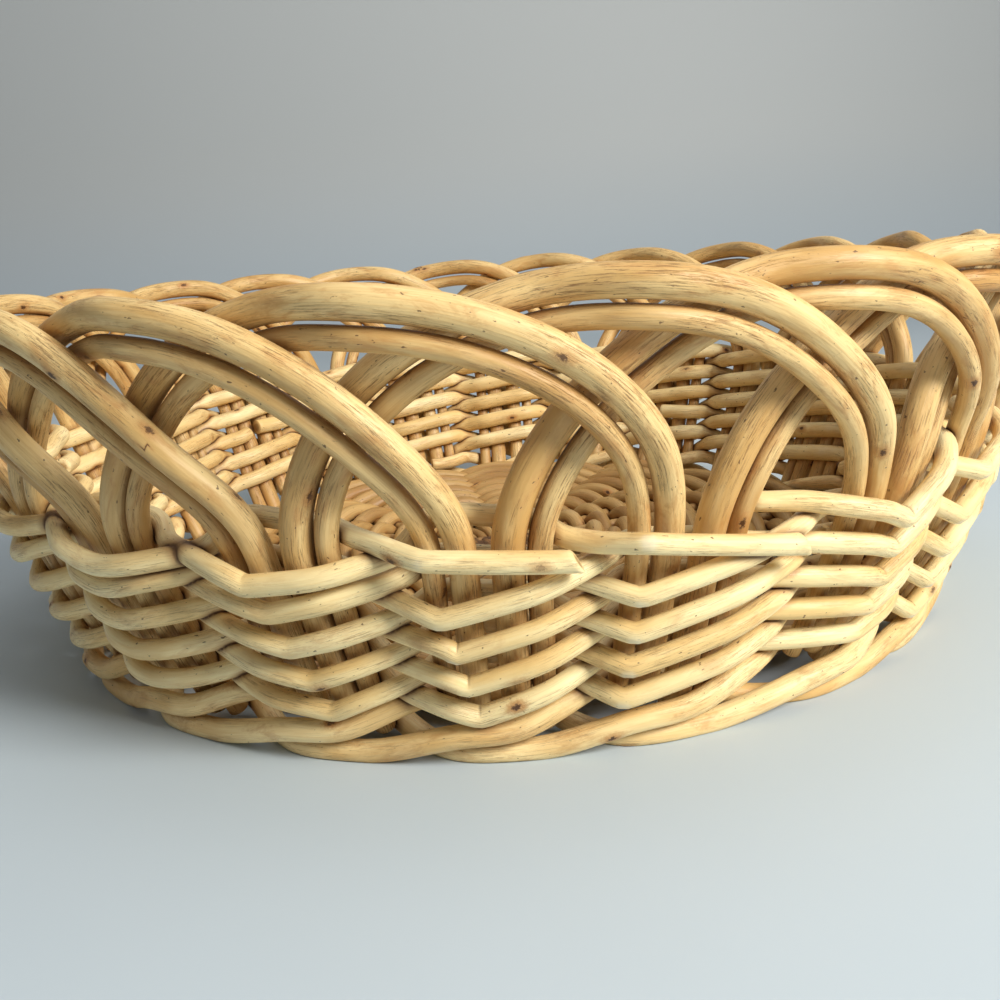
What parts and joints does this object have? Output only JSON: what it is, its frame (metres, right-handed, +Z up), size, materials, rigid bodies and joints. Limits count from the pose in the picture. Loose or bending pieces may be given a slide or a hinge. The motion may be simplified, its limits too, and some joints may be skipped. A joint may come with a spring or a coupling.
{
  "type": "round woven basket",
  "caption": "Shallow round basket of peeled rods with leaning twined sides, a waled foot, a woven floor and an open border of overlapping arches.",
  "frame": {"origin": "on the table under the middle of the basket", "axes": "+Z up out of the basket's mouth, -Y towards the viewer of the picture, at the first stake place"},
  "size_m": [0.4158, 0.4141, 0.1314],
  "materials": {
    "thick_rod": "satin peeled rod",
    "thin_rod": "satin peeled rod",
    "weaver": "satin peeled rod",
    "foot_rod": "satin peeled rod, warmer in tone",
    "base": "dull peeled rod"
  },
  "bodies": {
    "root": {"thick_arch_rod_01": "thick_rod", "thin_arch_rod_01": "thin_rod", "thick_arch_rod_02": "thick_rod", "thin_arch_rod_02": "thin_rod", "thick_arch_rod_03": "thick_rod", "thin_arch_rod_03": "thin_rod", "thick_arch_rod_04": "thick_rod", "thin_arch_rod_04": "thin_rod", "thick_arch_rod_05": "thick_rod", "thin_arch_rod_05": "thin_rod", "thick_arch_rod_06": "thick_rod", "thin_arch_rod_06": "thin_rod", "thick_arch_rod_07": "thick_rod", "thin_arch_rod_07": "thin_rod", "thick_arch_rod_08": "thick_rod", "thin_arch_rod_08": "thin_rod", "thick_arch_rod_09": "thick_rod", "thin_arch_rod_09": "thin_rod", "thick_arch_rod_10": "thick_rod", "thin_arch_rod_10": "thin_rod", "thick_arch_rod_11": "thick_rod", "thin_arch_rod_11": "thin_rod", "thick_arch_rod_12": "thick_rod", "thin_arch_rod_12": "thin_rod", "thick_arch_rod_13": "thick_rod", "thin_arch_rod_13": "thin_rod", "thick_arch_rod_14": "thick_rod", "thin_arch_rod_14": "thin_rod", "thick_arch_rod_15": "thick_rod", "thin_arch_rod_15": "thin_rod", "thick_arch_rod_16": "thick_rod", "thin_arch_rod_16": "thin_rod", "thick_arch_rod_17": "thick_rod", "thin_arch_rod_17": "thin_rod", "thick_arch_rod_18": "thick_rod", "thin_arch_rod_18": "thin_rod", "thick_arch_rod_19": "thick_rod", "thin_arch_rod_19": "thin_rod", "thick_arch_rod_20": "thick_rod", "thin_arch_rod_20": "thin_rod", "thick_arch_rod_21": "thick_rod", "thin_arch_rod_21": "thin_rod", "thick_arch_rod_22": "thick_rod", "thin_arch_rod_22": "thin_rod", "weaver_row_1_a": "weaver", "weaver_row_1_b": "weaver", "weaver_row_2_a": "weaver", "weaver_row_2_b": "weaver", "weaver_row_3_a": "weaver", "weaver_row_3_b": "weaver", "weaver_row_4_a": "weaver", "weaver_row_4_b": "weaver", "weaver_row_5_a": "weaver", "weaver_row_5_b": "weaver", "foot_rod_a": "foot_rod", "foot_rod_b": "foot_rod", "foot_rod_c": "foot_rod", "base_sticks": "base", "floor_weave_upper": "base", "floor_weave_lower": "base"}
  },
  "joints": []
}
